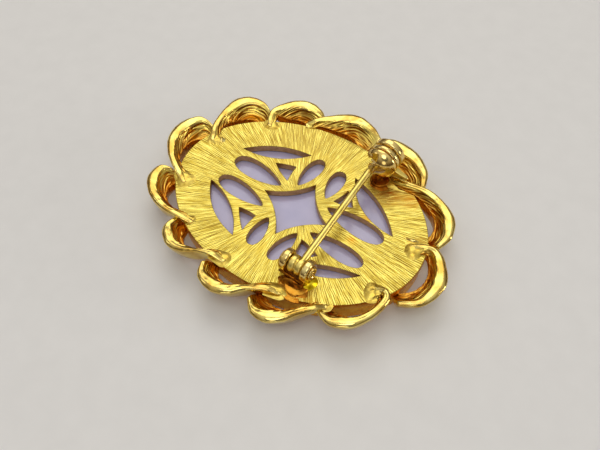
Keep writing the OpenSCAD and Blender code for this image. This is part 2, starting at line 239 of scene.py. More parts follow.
def castGilt():
    # gilt brass, cast and chased: polished rims, fine lines in the hollow with painted shade in their grooves
    # and a painted highlight on their ridges, and painted amber low in the hollow for the reflection of gold
    # in gold
    f = leafFinish
    material, tree = newMaterial("giltBrassCast")
    lay = addNode(tree, "UVMap", uv_map="lay")
    # the attribute says how far a point lies in the hollow, how high it sits on a ridge (for the painted
    # shade and highlight) and how much painted amber reflection and shade it gets deep down
    work = addNode(tree, "Attribute", attribute_name="work", attribute_type="GEOMETRY")
    share = addNode(tree, "SeparateColor", {"Color": work.outputs["Color"]})
    hollow, ridge, deep = (share.outputs[name] for name in ("Red", "Green", "Blue"))
    spread = (10 * 0.5 / f["lineMm"], 10 * 0.2, 1)
    stretch = addNode(tree, "VectorMath", {0: lay, 1: spread}, operation="MULTIPLY")
    lines = addNode(tree, "TexNoise", {"Vector": stretch, "Scale": 1.0, "Detail": 2.0, "Roughness": 0.6})
    place = addNode(tree, "TexCoord").outputs["Object"]
    patch = addNode(tree, "TexNoise", {"Vector": place, "Scale": 420.0, "Detail": 3.0})
    rim = addRamp(tree, patch, [(0.35, f["rim"]), (0.65, f["rimBright"])])
    raised = addNode(tree, "Math", {0: lines, 1: 0.8, 2: ridge}, operation="MULTIPLY_ADD")
    cup = addRamp(tree, raised, [(0.86, f["valleyShade"]), (1.0, f["ridge"])])
    mixed = addNode(tree, "Mix", {0: hollow, 6: rim, 7: cup}, data_type="RGBA").outputs[2]
    colour = layOver(tree, deep, mixed, f["deep"])
    rough = addRange(tree, hollow, 0.0, 1.0, 0.16, 0.28)
    depth = addRange(tree, hollow, 0.0, 1.0, 0.22, 0.8)
    height = addNode(tree, "Math", {0: lines, 1: depth}, operation="MULTIPLY")
    chased = addBump(tree, height, 0.8, 0.06)
    closeMetal(tree, colour, rough, addBump(tree, patch, 0.6, 0.1, chased))
    return material


glazeFinish = {"body": "#BEB8D6", "shade": "#ADA8CA", "roughness": 0.2}


def glazedPorcelain():  # porcelain, fired under a clear glaze: pale lilac body, soft gloss, faint mottling
    f = glazeFinish
    material, tree = newMaterial("porcelainGlazed")
    place = addNode(tree, "TexCoord").outputs["Object"]
    cloud = addNode(tree, "TexNoise", {"Vector": place, "Scale": 220.0, "Detail": 4.0})
    colour = addRamp(tree, cloud, [(0.3, f["shade"]), (0.7, f["body"])])
    speck = addNode(tree, "TexNoise", {"Vector": place, "Scale": 2600.0, "Detail": 1.0})
    bump = addBump(tree, speck, 0.25, 0.02)
    closeMaterial(tree, addNode(tree, "BsdfPrincipled", {
        "Base Color": colour, "Normal": bump, "Roughness": f["roughness"], "IOR": 1.5, "Coat Weight": 0.3,
        "Coat Roughness": 0.05, "Subsurface Weight": 0.1, "Subsurface Radius": (0.001, 0.001, 0.001)}))
    return material


giltPlate = brushedGilt()
giltCast = castGilt()
# cut edge, sawn through the plate after brushing: duller, browner metal
sawnEdge = giltSurface("giltBrassSawn", "#C49A62", "#E2BC84", 0.42, 0.35, 0.05)
# outer edge, polished thin: its deep amber is painted reflection, where gold reflects gold
rimEdge = giltSurface("giltBrassEdge", "#F0A41C", "#FFCB48", 0.3, 0.5, 0.04)
# drawn wire and small fittings, bright dipped: mirror-like with slight waviness
giltWire = giltSurface("giltBrassBright", "#E4BE68", "#F5DC90", 0.15, 0.9, 0.015)
# pin wire, drawn and worn by handling: pale, with a soft bright line along it
wornWire = giltSurface("giltBrassWorn", "#E2C560", "#F4DD80", 0.3, 0.9, 0.012)
# solder, gilt over: smooth melted mounds, a little creased
giltSolder = giltSurface("solderGilt", "#D2AE46", "#EED468", 0.34, 0.5, 0.06)
# solder that boiled while it was hot: pitted, dark in the pits
pittedSolder = giltSurface("solderPitted", "#D2AA48", "#FBEA9A", 0.2, 0.3, 0.11, 0.22, "#6E4818")
# solder at the fittings' feet: orange and brown painted shade and painted amber reflection under the fittings
shadedSolder = giltSurface("solderPaintedShade", "#783A08", "#C07E26", 0.3, 0.8, 0.05, 0.35, "#4A240A")
# gilt metal round the hinge's foot: orange gold, browner in patches; painted shade and painted amber
# reflection under the hinge
shadedGilt = giltSurface("giltBrassPaintedShade", "#B4701E", "#E4A83C", 0.3, 0.7, 0.05, 0.3, "#7A4414")
# solder squeezed up beside the hinge, polished: its clear yellow is a painted reflection of the gilt ear
earReflectionSolder = giltSurface("solderEarReflection", "#F6CC12", "#FFEC40", 0.4, 0.5, 0.04)
porcelainGlaze = glazedPorcelain()
print("materials made")


# Mesh helpers

def addPiece(name, points, faces, material, body, uv=None, work=None):
    mesh = bpy.data.meshes.new(name)
    mesh.from_pydata([toFrame(p) for p in points], [], faces)
    mesh.update()
    mesh.polygons.foreach_set("use_smooth", [True] * len(mesh.polygons))
    if uv:
        layer = mesh.uv_layers.new(name="lay")
        layer.data.foreach_set("uv", [c for loop in mesh.loops for c in uv[loop.vertex_index]])
    if work:
        layer = mesh.attributes.new("work", "FLOAT_COLOR", "POINT")
        layer.data.foreach_set("color", [c for row in work for c in row + (1.0,)])
    mesh.materials.append(material)
    piece = bpy.data.objects.new(name, mesh)
    bpy.context.scene.collection.objects.link(piece)
    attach(piece, body)
    return piece


def joinMeshes(groups):  # several (points, faces) as one
    points, faces = [], []
    for some, sides in groups:
        start = len(points)
        points += some
        faces += [[v + start for v in side] for side in sides]
    return points, faces


def tubeFaces(rows, n, start=0, closed=False):
    # faces between rings of n points each; closed joins the last ring to the first
    faces = []
    for j in range(rows if closed else rows - 1):
        low, high = start + j * n, start + (j + 1) % rows * n
        faces += [[low + k, low + (k + 1) % n, high + (k + 1) % n, high + k] for k in range(n)]
    return faces


def turnedOver(faces):  # the same faces, with their other side out
    return [side[:1] + side[:0:-1] for side in faces]


def rectangle(x0, y0, x1, y1):
    return [(x0, y0), (x1, y0), (x1, y1), (x0, y1)]


def revolve(profile, toPlace, start=0.0, sweep=360.0, steps=72, middle=None, ends=7.0, shrink=0.34):
    # a closed profile of (along, radius) turned about an axis; toPlace takes (along, across, up)
    # with a middle, both ends of an open ring are rounded towards it over so many degrees
    whole = sweep >= 360
    turns = [(start + sweep * j / steps, 1.0) for j in range(steps if whole else steps + 1)]
    if middle:
        quarter = [polar(1, a) for a in (22, 45, 67, 90)]
        rounds = [(ends * lap, 1 - shrink * (1 - size)) for size, lap in quarter]
        before = [(start - lap, size) for lap, size in rounds[::-1]]
        turns = before + turns + [(start + sweep + lap, size) for lap, size in rounds]
    points = []
    for turn, size in turns:
        for along, r in profile:
            if middle:
                along, r = lerp(middle[0], along, size), lerp(middle[1], r, size)
            points.append(toPlace(along, *polar(r, turn)))
    n, rows = len(profile), len(turns)
    faces = tubeFaces(rows, n, closed=whole)
    if not whole:
        faces += [list(range(n))[::-1], [(rows - 1) * n + k for k in range(n)]]
    return points, faces


def roundedProfile(x0, r0, x1, r1, corner, steps=6):
    spots = [(x1 - corner, r1 - corner, 0), (x0 + corner, r1 - corner, 90),
             (x0 + corner, r0 + corner, 180), (x1 - corner, r0 + corner, 270)]
    profile = []
    for cx, cy, start in spots:
        for k in range(steps + 1):
            x, y = polar(corner, start + 90 * k / steps)
            profile.append((cx + x, cy + y))
    return profile


def cutSheet(outlines, thick, bevel, bevelSteps=3):
    # a flat sheet with holes, its edges rounded by bevel, from z -thick/2 to thick/2
    data = bpy.data.curves.new("outline", "CURVE")
    data.dimensions = "2D"
    data.fill_mode = "BOTH"
    for outline in outlines:
        spline = data.splines.new("POLY")
        spline.points.add(len(outline) - 1)
        spline.points.foreach_set("co", [c for x, y in outline for c in (x, y, 0, 1)])
        spline.use_cyclic_u = True
    data.extrude = thick / 2 - bevel
    data.bevel_depth = bevel
    data.bevel_resolution = bevelSteps
    data.offset = -bevel
    holder = bpy.data.objects.new("outline", data)
    bpy.context.scene.collection.objects.link(holder)
    bpy.context.view_layer.update()
    mesh = bpy.data.meshes.new_from_object(holder.evaluated_get(bpy.context.evaluated_depsgraph_get()))
    bpy.data.objects.remove(holder)
    points = [tuple(v.co) for v in mesh.vertices]
    faces = [list(p.vertices) for p in mesh.polygons]
    bpy.data.meshes.remove(mesh)
    return points, faces


def flatShading(piece, angle=40):
    mesh = piece.data
    mesh.validate()
    merge = piece.modifiers.new("join", "WELD")
    merge.merge_threshold = 0.002 * mm
    mesh.set_sharp_from_angle(angle=math.radians(angle))
    piece.modifiers.new("flat", "WEIGHTED_NORMAL").keep_sharp = True


# Pierced back plate
plate = {"a": 20.0, "b": 14.8, "thick": 1.2, "edge": 0.1}
petals = [  # inner point x, y, round end x, y, half width
    (-4.3, 1.5, -12.95, 1.9, 1.6), (-4.3, -3.1, -12.75, -2.3, 1.45), (3.8, 2, 13.5, 1.4, 1.6),
    (4.2, -3.1, 13.2, -3.6, 1.4), (-2.2, 3, -1.75, 9.05, 1.22), (2.6, 3.3, 2, 8.85, 1.2),
    (-2.3, -4.4, -1.8, -9.6, 1.1), (2.7, -4.3, 1.9, -10, 1.15)]
curvedHoles = [  # corners, and how far each side bows out
    ([(-5.7, -0.6), (0.2, -6.1), (5.4, -0.7), (0, 4.5)], (-0.72, -0.72, -0.65, -0.68)),
    ([(-13.3, 4.1), (-3.8, 8.9)], (1.25, 1.1)),
    ([(-4.7, -9.7), (-13.5, -3.6)], (1.25, 1.25)),
    ([(4.2, 9), (14.2, 3)], (1.75, 1.05)),
    ([(4.3, -9.5), (13.9, -5.1)], (1.1, 0.8)),
    ([(-7.4, 4.6), (-4, 2.8), (-4.4, 5.7)], (0.15, -0.1, 0.1)),
    ([(-6.9, -5.3), (-4.1, -8.2), (-4, -5.2)], (0.1, -0.1, 0.15)),
    ([(6.8, 4.1), (4.6, 6.3), (3.9, 3.5)], (0.15, -0.1, 0.15)),
    ([(7.2, -5.8), (3.9, -4.8), (4.3, -8)], (0.15, -0.1, 0.15))]


def petalOutline(x0, y0, x1, y1, half, steps=26):  # pointed at its inner end, round at the other
    swell, taper, widest = 0.75, 0.45, 0.625
    peak = widest ** swell * (1 - widest) ** taper
    dx, dy = x1 - x0, y1 - y0
    length = math.hypot(dx, dy)
    rows = [(1 - math.cos(math.pi * i / steps)) / 2 for i in range(steps + 1)]
    spots = [(f, half * f ** swell * (1 - f) ** taper / peak) for f in rows]
    spots += [(f, -w) for f, w in spots[-2:0:-1]]
    return [(x0 + dx * f - dy / length * w, y0 + dy * f + dx / length * w) for f, w in spots]


def bowedOutline(corners, rises, steps=22):
    out = []
    for k, (a, rise) in enumerate(zip(corners, rises)):
        b = corners[(k + 1) % len(corners)]
        dx, dy = b[0] - a[0], b[1] - a[1]
        length = math.hypot(dx, dy)
        for i in range(steps):
            f = i / steps
            bow = 4 * rise * f * (1 - f)
            out.append((a[0] + dx * f + dy / length * bow, a[1] + dy * f - dx / length * bow))
    return out


holes = [petalOutline(*row) for row in petals] + [bowedOutline(*row) for row in curvedHoles]
points, faces = cutSheet([ovalPoints(plate["a"], plate["b"], 300)] + holes, plate["thick"], plate["edge"])
points = [(x, y, z - plate["thick"] / 2) for x, y, z in points]
backPlate = addPiece("backPlate", points, faces, giltPlate, "brooch")
backPlate.data.materials.append(sawnEdge)
backPlate.data.materials.append(rimEdge)
# upright walls: the hole walls get the sawn edge, the outer edge the painted amber reflection
for side in backPlate.data.polygons:
    if abs(side.normal.z) < 0.3:
        x = side.center.x / mm - brooch["centreX"]
        y = side.center.y / mm - brooch["centreY"]
        side.material_index = 2 if (x / plate["a"]) ** 2 + (y / plate["b"]) ** 2 > 0.94 else 1
flatShading(backPlate)
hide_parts("back_plate")
print("back plate made")


# Leaf border
leaves = [  # outer edge of each rim: tail's tip, neck, rise, crown, fall, corner, wide end
    [(-10.9, -11.8), (-13.3, -12.2), (-16.5, -12.2), (-19.5, -10.9), (-21.4, -8.7), (-21.5, -6.1),
     (-20.2, -5.3)],
    [(-16.7, -6.6), (-19, -5.6), (-21.9, -3.7), (-24.1, -0.9), (-24.4, 2.5), (-22.9, 5.3), (-20.3, 5.3)],
    [(-18.6, 2.6), (-19.8, 4.6), (-20.5, 8), (-20.4, 11.3), (-18.8, 13.2), (-16.3, 13.7), (-14.6, 13)],
    [(-13, 10.1), (-14.2, 12.5), (-13.2, 15.3), (-11.3, 17.3), (-9.2, 17.8), (-7.4, 17.4), (-6.6, 16.9)],
    [(-8.1, 13.9), (-7.2, 15.3), (-5.5, 17.2), (-3.6, 18.9), (-1.3, 19.7), (1.4, 19.1), (3.2, 18.1)],
    [(4.4, 14), (3.5, 16.7), (4.9, 18.3), (7.4, 18.6), (10.1, 17.9), (12.7, 15.9), (13.7, 13.5)],
    [(8.7, 12.3), (11.4, 12.4), (14.8, 12.8), (17.9, 11.9), (20.3, 10.1), (21.3, 7.3), (20.7, 5.1)],
    [(17.2, 3), (18.8, 4), (21.1, 4.1), (23.3, 2), (24.4, -0.7), (23.3, -4.4), (20.5, -6.1)],
    [(16.5, -5.6), (18, -5.2), (19.3, -6.5), (18.9, -9.6), (17.2, -12.7), (14.4, -14), (12, -13.1)],
    [(12.9, -12.2), (12, -13.4), (10.6, -15.1), (9.3, -17.1), (7.4, -18.5), (5, -18.4), (3.3, -16.8)],
    [(6.4, -14.1), (4.7, -14.8), (2.6, -16.2), (0.9, -18), (-1.6, -18.9), (-4.3, -18), (-5.5, -15.9)],
    [(-3, -14.3), (-4.7, -14.6), (-6.8, -15.3), (-9, -16.5), (-11.4, -16.5), (-13.5, -14.5), (-13.6, -12.3)]]
leafStations = [  # along, outside, hold, rim, lip, underside, tuck
    (0, 0, 1, 0.34, 0.16, -0.03, 0), (0.08, -0.2, 1, 0.85, 0.25, -0.9, 0.1),
    (0.3, 0.9, 0.1, 1, -0.45, -2.5, 0.55), (0.48, 1.4, 0, 1, -0.85, -3, 1),
    (0.64, 1.2, 0, 0.95, -0.95, -3.1, 1), (0.78, 0.3, 0, 0.65, -1.2, -3, 0.9),
    (0.86, -0.5, 0, 0.2, -1.5, -2.9, 0.7)]
leafShape = {
    "steps": 120, "tailWidth": 1.45, "samples": [3, 3, 3, 3, 3, 3, 3, 3, 10, 10, 10, 10, 10, 5, 4],
    "rimWidths": [(0.9,), (1.15,), (1.75,), (1.95,), (1.7,), (1.15,), (0.7,)],
    "grooveMm": 0.36, "grooveDeep": 0.15, "slant": 0.15, "lumpMm": 0.9, "lumpDeep": 0.05,
}
cupWeight = [0, 0, 0, 0, 0, 0, 0.1, 0.5, 0.85, 1, 1, 1, 1, 0.55, 0.1]
# how far the painted amber shade reaches across the leaf's section
cupAmberShade = [0, 0, 0, 0, 0, 0.4, 0.9, 1, 1, 0.95, 0.75, 0.42, 0.15, 0, 0]


def curveThrough(p, q, r, s, t):  # a smooth curve from q to r, steered by p and s
    values = []
    for a, b, c, d in zip(p, q, r, s):
        square, cube = 2 * a - 5 * b + 4 * c - d, 3 * b - a - 3 * c + d
        values.append(0.5 * (2 * b + (c - a) * t + square * t * t + cube * t * t * t))
    return values


def rowAt(rows, s):
    n = len(rows) - 1
    k = min(int(s * n), n - 1)
    return curveThrough(rows[max(k - 1, 0)], rows[k], rows[k + 1], rows[min(k + 2, n)], s * n - k)


def ovalAngle(p):
    return math.degrees(math.atan2(p[1] / plate["b"], p[0] / plate["a"]))


def edgePoint(t, out):
    c, s = polar(1, t)
    n = Vector((plate["b"] * c, plate["a"] * s)).normalized()
    return plate["a"] * c + n.x * out, plate["b"] * s + n.y * out


def leafSection(o, i, rim, lip, under, tuck, rimWidth):
    w = max(math.hypot(i[0] - o[0], i[1] - o[1]), 0.3)
    r = min(rimWidth / w, 0.55)
    body = rim - under
    rows = [(0.34 * r, rim), (0.08 * r, rim - 0.05 * body), (0, rim - 0.13 * body),
            (lerp(0.03, 0.13, tuck), rim - 0.4 * body), (lerp(0.16, 0.38, tuck), rim - 0.73 * body),
            (lerp(0.4, 0.66, tuck), rim - 0.94 * body), (0.88, under),
            (1, lerp(under, lip, 0.35)), (1, lip), (lerp(1, r, 0.2), lerp(lip, rim, 0.05)),
            (lerp(1, r, 0.42), lerp(lip, rim, 0.2)), (lerp(1, r, 0.64), lerp(lip, rim, 0.44)),
            (lerp(1, r, 0.84), lerp(lip, rim, 0.7)), (r, lerp(lip, rim, 0.91)), (0.7 * r, rim - 0.02 * body)]
    return [(lerp(o[0], i[0], q), lerp(o[1], i[1], q), z) for q, z in rows]


def smoothRing(values):
    n = len(values)
    return [curveThrough(values[k - 1], values[k], values[(k + 1) % n], values[(k + 2) % n], j / count)
            for k, count in enumerate(leafShape["samples"]) for j in range(count)]


def chasedRidge(across, along, k):  # high on a chased ridge, low in a groove
    wide = leafShape["grooveMm"]
    fine = noise.noise(Vector((across / wide, along * 0.28, k * 7.3)))
    broad = noise.noise(Vector((across / (wide * 2.3), along * 0.2, k * 3.1 + 20)))
    return 0.6 - abs(fine) * 1.7 + broad * 0.6


def leafMesh(k):
    line, shape = leaves[k], leafShape
    ta = ovalAngle(leaves[k - 1][6])
    tb = ovalAngle(line[6])
    if tb > ta:
        tb -= 360
    rings, steps = [], shape["steps"]
    for j in range(steps + 1):
        s = j / steps
        along, outside, hold, rim, lip, under, tuck = rowAt(leafStations, s)
        rimWidth = rowAt(shape["rimWidths"], s)[0]
        o = rowAt(line, s)
        d = Vector(rowAt(line, min(s + 0.02, 1))) - Vector(rowAt(line, max(s - 0.02, 0)))
        d.normalize()
        reach = shape["tailWidth"] * (0.62 + 0.38 * min(1, s * 9))
        held = (o[0] + d.y * reach, o[1] - d.x * reach)
        free = edgePoint(lerp(ta, tb, along), outside)
        grip = within(hold)
        i = (lerp(free[0], held[0], grip), lerp(free[1], held[1], grip))
        rings.append((s, smoothRing(leafSection(o, i, rim, lip, under, tuck, rimWidth)), d))
    weights = [w[0] for w in smoothRing([(w,) for w in cupWeight])]
    amberShares = [w[0] for w in smoothRing([(w,) for w in cupAmberShade])]
    n = len(weights)
    caps = []
    for (s, ring, d), sign, depth in ((rings[0], -1, 0.36), (rings[-1], 1, 0.3)):  # rounded ends
        middle = [sum(p[c] for p in ring) / n for c in range(3)]
        some = []
        for turn in (80, 62, 44, 24):
            c, lift = polar(1, turn)
            pushX, pushY = sign * d.x * depth * lift, sign * d.y * depth * lift
            smaller = [(lerp(middle[0], x, c) + pushX, lerp(middle[1], y, c) + pushY, lerp(middle[2], z, c))
                       for x, y, z in ring]
            some.append((s, smaller, d))
        caps.append(some)
    rings = caps[0] + rings + caps[1][::-1]
    points, uv, work, along = [], [], [], 0.0
    lumpMm = shape["lumpMm"]
    for j, (s, ring, d) in enumerate(rings):
        if j:
            along += (Vector(ring[0]) - Vector(rings[j - 1][1][0])).length
        before, after = rings[max(j - 1, 0)][1], rings[min(j + 1, len(rings) - 1)][1]
        slanted = shape["slant"] * max(0.0, along - 2.0)
        ease = min(1.0, s * 14) * min(1.0, (1 - s) * 10 + 0.2)  # the chasing fades towards both ends
        across = 0.0
        for q in range(n - 1, -1, -1):  # from the rim's inner side down into the cup
            p, following = Vector(ring[q]), Vector(ring[(q + 1) % n])
            across += (p - following).length
            normal = (following - Vector(ring[q - 1])).cross(Vector(after[q]) - Vector(before[q]))
            if normal.length > 1e-9:
                normal.normalize()
            w = within(weights[q])
            ridge = chasedRidge(across + slanted, along, k)
            lump = noise.noise(Vector((p.x / lumpMm, p.y / lumpMm, p.z / lumpMm + k)))
            p += normal * (w * ease * shape["grooveDeep"] * ridge + (1 - w) * shape["lumpDeep"] * lump)
            points.append(tuple(p))
            uv.append(((across + slanted) / 10, along / 10))
            # painted amber shade, strongest deep in the hollow near the plate and fading towards the tail
            deep = within(amberShares[q]) * min(1.0, s * 5)
            work.append((w * (0.35 + 0.65 * ease), within(0.5 + 0.5 * ridge), 0.75 * deep))
    faces = turnedOver(tubeFaces(len(rings), n))
    faces += [list(range(n)), [(len(rings) - 1) * n + q for q in range(n - 1, -1, -1)]]
    return points, faces, uv, work


for k in range(len(leaves)):
    points, faces, uv, work = leafMesh(k)
    leaf = addPiece("leaf%02d" % (k + 1), points, faces, giltCast, "brooch", uv, work)
    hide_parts("leaf_border")
print("leaves made")

# Bezel ring that holds the porcelain, behind the leaves
bezel = {"out": 0.25, "wall": 0.65, "lip": 1.9, "top": -1.25, "lipZ": -3.0, "bottom": -4.2}


def ovalRing(profile, steps=180):
    # a closed profile of (distance inside the plate's edge, height) carried round the oval
    points = []
    for j in range(steps):
        t = 2 * math.pi * j / steps
        for inside, z in profile:
            points.append(((plate["a"] - inside) * math.cos(t), (plate["b"] - inside) * math.sin(t), z))
    return points, tubeFaces(steps, len(profile), closed=True)


e = bezel
outer, wallIn, lip = e["out"], e["out"] + e["wall"], e["lip"]
top, bottom, lipZ = e["top"], e["bottom"], e["lipZ"]
ringProfile = [
    (outer, top - 0.1), (outer, bottom + 0.5), (outer + 0.1, bottom + 0.2), (outer + 0.3, bottom),
    (lip - 0.25, bottom), (lip - 0.05, bottom + 0.12), (lip, bottom + 0.35), (lip, lipZ - 0.15),
    (lip - 0.1, lipZ), (wallIn + 0.05, lipZ), (wallIn, top - 0.05), (wallIn - 0.08, top), (outer + 0.1, top)]
points, faces = ovalRing(ringProfile)
# the ring carries the same painted amber reflection as the plate's outer edge
bezelRing = addPiece("bezelRing", points, faces, rimEdge, "brooch")
flatShading(bezelRing, 50)
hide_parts("leaf_border")
print("bezel made")

# Solder where the tails are fastened: a mound that fairs each tail into the plate, and puddles run out of it
# before and after: how far along the leaf; aside and margin: off its rim, and inside the plate's edge
mound = {"rows": 26, "across": 22, "before": 0.09, "after": 0.22, "aside": 0.75, "margin": 0.012}
moundSizes = [  # one for each leaf: half width, height, lumps
    (1.15, 0.26, 0.03), (1.8, 0.4, 0.05), (1.7, 0.36, 0.12), (1.6, 0.32, 0.03), (1.05, 0.26, 0.03),
    (1.35, 0.3, 0.04), (1.6, 0.36, 0.06), (1.7, 0.55, 0.08), (2.1, 0.6, 0.14), (1.2, 0.26, 0.03),
    (1.95, 0.6, 0.04), (1.6, 0.38, 0.03)]
puddles = [  # x, y, half length, half width, degrees, height, roughness of the skin
    (-12.9, 10.2, 1.2, 0.9, -30, 0.16, 0.2), (-18.1, 3.0, 1.3, 1.0, 40, 0.18, 0.4),
    (17.6, 3.6, 1.8, 0.8, 25, 0.12, 0.4), (12.4, -12.3, 1.5, 0.7, 40, 0.12, 0.3),
    (9.3, 11.9, 1.5, 0.9, 0, 0.26, 0.4)]
pitted = [
    (-17.2, 3.5, 0.85, 0.6, 30, 0.34, 1.6), (-12.9, 10.4, 0.7, 0.55, -20, 0.36, 1.2),
    (16.8, 4.0, 1.1, 0.35, 15, 0.2, 1.0)]
# patches at the hinge's and the catch's feet, in painted shade and amber reflection
feet = [
    (6.9, -11.3, 2.1, 1.2, 4, 1.0, 0.2), (8.3, -12.0, 1.5, 0.9, 10, 0.25, 0.4),
    (7.7, 9.9, 1.6, 1.1, 0, 0.26, 0.8)]
# a small mound whose yellow paints the gilt ear's reflection in the plate
besideHinge = (9.0, -10.3, 1.35, 0.85, 75, 0.7, 0.1)


def moundMesh(k):
    line, m = leaves[k], mound
    width, height, lumps = moundSizes[k]
    stations = []
    for j in range(m["rows"] + 1):
        s = lerp(-m["before"], m["after"], j / m["rows"])
        on = max(s, 0)
        o = Vector(rowAt(line, on))
        d = (Vector(rowAt(line, on + 0.03)) - o).normalized()
        spine = o + Vector((d.y, -d.x)) * m["aside"]
        end = 1.0
        if s < 0:
            spine += d * (s / m["before"] * (width - 0.6))
            end = max(0.0, 1 - (s / m["before"]) ** 2)
        inside = 1 - math.hypot(spine.x / plate["a"], spine.y / plate["b"])
        if inside < m["margin"]:
            break
        near = min(1.0, (inside - m["margin"]) / 0.08)
        wide = width * max(0.03, math.sqrt(end)) * lerp(0.5, 1, near)
        high = height * lerp(0.85, 1, on / m["after"]) * end ** 1.3
        stations.append((spine, d, wide, high))
    n = m["across"]
    points = []
    for spine, d, wide, high in stations:
        for q in range(n + 1):
            v = -1 + 2 * q / n
            p = spine + Vector((d.y, -d.x)) * (v * wide)
            skin = noise.noise(Vector((p.x / 0.5 + 0.3 * p.y, p.y / 0.5, k + 0.37)))
            z = high * (1 - v * v) ** 1.7 + skin * lumps * (1 - v * v) - 0.04
            if math.hypot(p.x / plate["a"], p.y / plate["b"]) > 0.985:
                z = min(z, 0.02)
            points.append((p.x, p.y, z))
    faces = []
    for j in range(len(stations) - 1):
        low, high = j * (n + 1), (j + 1) * (n + 1)
        faces += [[low + q + 1, high + q + 1, high + q, low + q] for q in range(n)]
    return points, faces


def puddleMesh(x, y, half, wide, turn, height, lumps, rings=12, steps=56):
    c, s = polar(1, turn)
    points = [(x, y, height)]
    for j in range(1, rings + 1):
        t = j / rings
        for aheadX, aheadY in ovalPoints(1, 1, steps):
            edge = 1 + 0.28 * noise.noise(Vector((aheadX * 1.3 + x, aheadY * 1.3 + y, 0.5)))
            u, v = half * t * edge * aheadX, wide * t * edge * aheadY
            px, py = x + u * c - v * s, y + u * s + v * c
            skin = noise.noise(Vector((px / 0.6 + 0.5 * py, py / 0.6 - 0.4 * px, 3.37)))
            bump = 0.16 * lumps * skin * (1 - t * t)
            points.append((px, py, height * (1 - t * t) ** 1.4 + bump - 0.03 * t))
    fan = [[0, 1 + k, 1 + (k + 1) % steps] for k in range(steps)]
    return points, fan + turnedOver(tubeFaces(rings, steps, 1))


points, faces = joinMeshes([puddleMesh(*row) for row in puddles] + [moundMesh(k) for k in range(len(leaves))])
solderPuddles = addPiece("solderPuddles", points, faces, giltSolder, "brooch")
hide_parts("back_plate")
points, faces = joinMeshes([puddleMesh(*row) for row in pitted])
solderPits = addPiece("solderPits", points, faces, pittedSolder, "brooch")
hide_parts("back_plate")
# painted shade and amber reflection at the fittings' feet
points, faces = joinMeshes([puddleMesh(*row) for row in feet])
shadedFeet = addPiece("shadedFeet", points, faces, shadedSolder, "brooch")
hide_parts("back_plate")
points, faces = puddleMesh(*besideHinge)
earReflectionPatch = addPiece("earReflectionPatch", points, faces, earReflectionSolder, "brooch")
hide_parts("back_plate")
print("solder made")

# Porcelain oval, slightly domed on its front
porcelain = {"a": 19.0, "b": 13.8, "top": -1.3, "edge": 1.0, "dome": 1.78, "round": 0.12}
w, steps = porcelain, 160
rimZ = w["top"] - w["edge"]
outlineRows = [(f, w["top"]) for f in (0.0, 0.3, 0.6, 0.85, 0.97)]
outlineRows.append((1 - w["round"] / w["a"] * 0.3, w["top"] - 0.03))
outlineRows += [(1.0, w["top"] - w["round"]), (1.0, rimZ + 0.02)]
for a in range(4, 90, 5):
    f, drop = polar(1, a)
    outlineRows.append((f, rimZ - w["dome"] * drop))
outlineRows.append((0.0, rimZ - w["dome"]))
points = [(x, y, z) for f, z in outlineRows for x, y in ovalPoints(w["a"] * f, w["b"] * f, steps)]
faces = turnedOver(tubeFaces(len(outlineRows), steps))
porcelainOval = addPiece("porcelainOval", points, faces, porcelainGlaze, "brooch")
flatShading(porcelainOval, 50)
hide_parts("porcelain")
print("porcelain made")

# Hinge: two ears on a foot, the pin's coil between them and a rivet through all
hinge = {
    "y": -9.75, "z": 2.2, "earLeft": 4.39, "earRight": 7.77, "ear": 1.1, "earR": 1.65, "bore": 0.52,
    "shoulder": 0.72, "footX": 7.6, "footY": -11.4, "footR": 1.7, "foot": 0.26, "blockInset": 0.2,
    "blockHalf": 0.95, "blockThick": 0.7, "blockZ": 0.25, "scoopR": 1.95, "scoop": 0.35, "scoopInset": 0.25,
}
scrape = [  # ring scraped round the foot: height, radius
    (0.0, 2.05), (0.07, 2.12), (0.02, 2.22), (0.02, 2.34), (0.08, 2.42), (0.02, 2.54), (0.02, 2.68),
    (0.06, 2.76), (-0.04, 2.9), (-0.04, 2.05)]


def aboutHinge(along, across, up):  # axis along X
    return (along, hinge["y"] + across, hinge["z"] + up)


def aboutFoot(along, across, up):  # axis along Z, a little off the foot's middle
    return (hinge["footX"] + 0.2 + across, hinge["footY"] + 0.3 + up, along)


def earMesh(x):  # round knuckle with shoulders down to the plate
    h = hinge
    outline = [polar(h["earR"], a) for a in range(-40, 221, 5)]
    outline += [(-h["earR"] * h["shoulder"], -h["z"] - 0.1), (h["earR"] * h["shoulder"], -h["z"] - 0.1)]
    bore = [polar(h["bore"], a) for a in range(0, 360, 10)]
    points, faces = cutSheet([outline, bore], h["ear"], 0.34, 8)
    return [(x + h["ear"] / 2 + z, h["y"] + u, h["z"] + v) for u, v, z in points], faces


def discMesh(x, y, r, height, edge):  # a round foot with a rolled edge
    profile = [(-0.05, 0.001), (-0.05, r)]
    for a in range(0, 91, 15):
        back, rise = polar(edge, a)
        profile.append((height - edge + rise, r - edge + back))
    profile += [(height * 1.05, r * 0.5), (height * 1.08, 0.001)]
    return revolve(profile, lambda along, across, up: (x + across, y + up, along))


h = hinge
parts = [earMesh(h["earLeft"]), earMesh(h["earRight"])]
near, far = h["earLeft"] + h["blockInset"], h["earRight"] + h["ear"] - h["blockInset"]
block, blockFaces = cutSheet([rectangle(near, -h["blockHalf"], far, h["blockHalf"])], h["blockThick"], 0.2)
parts.append(([(x, h["y"] + y, h["blockZ"] + z) for x, y, z in block], blockFaces))
points, faces = joinMeshes(parts)
hingeEars = addPiece("hingeEars", points, faces, giltWire, "brooch")
flatShading(hingeEars, 45)
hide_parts("back_plate")
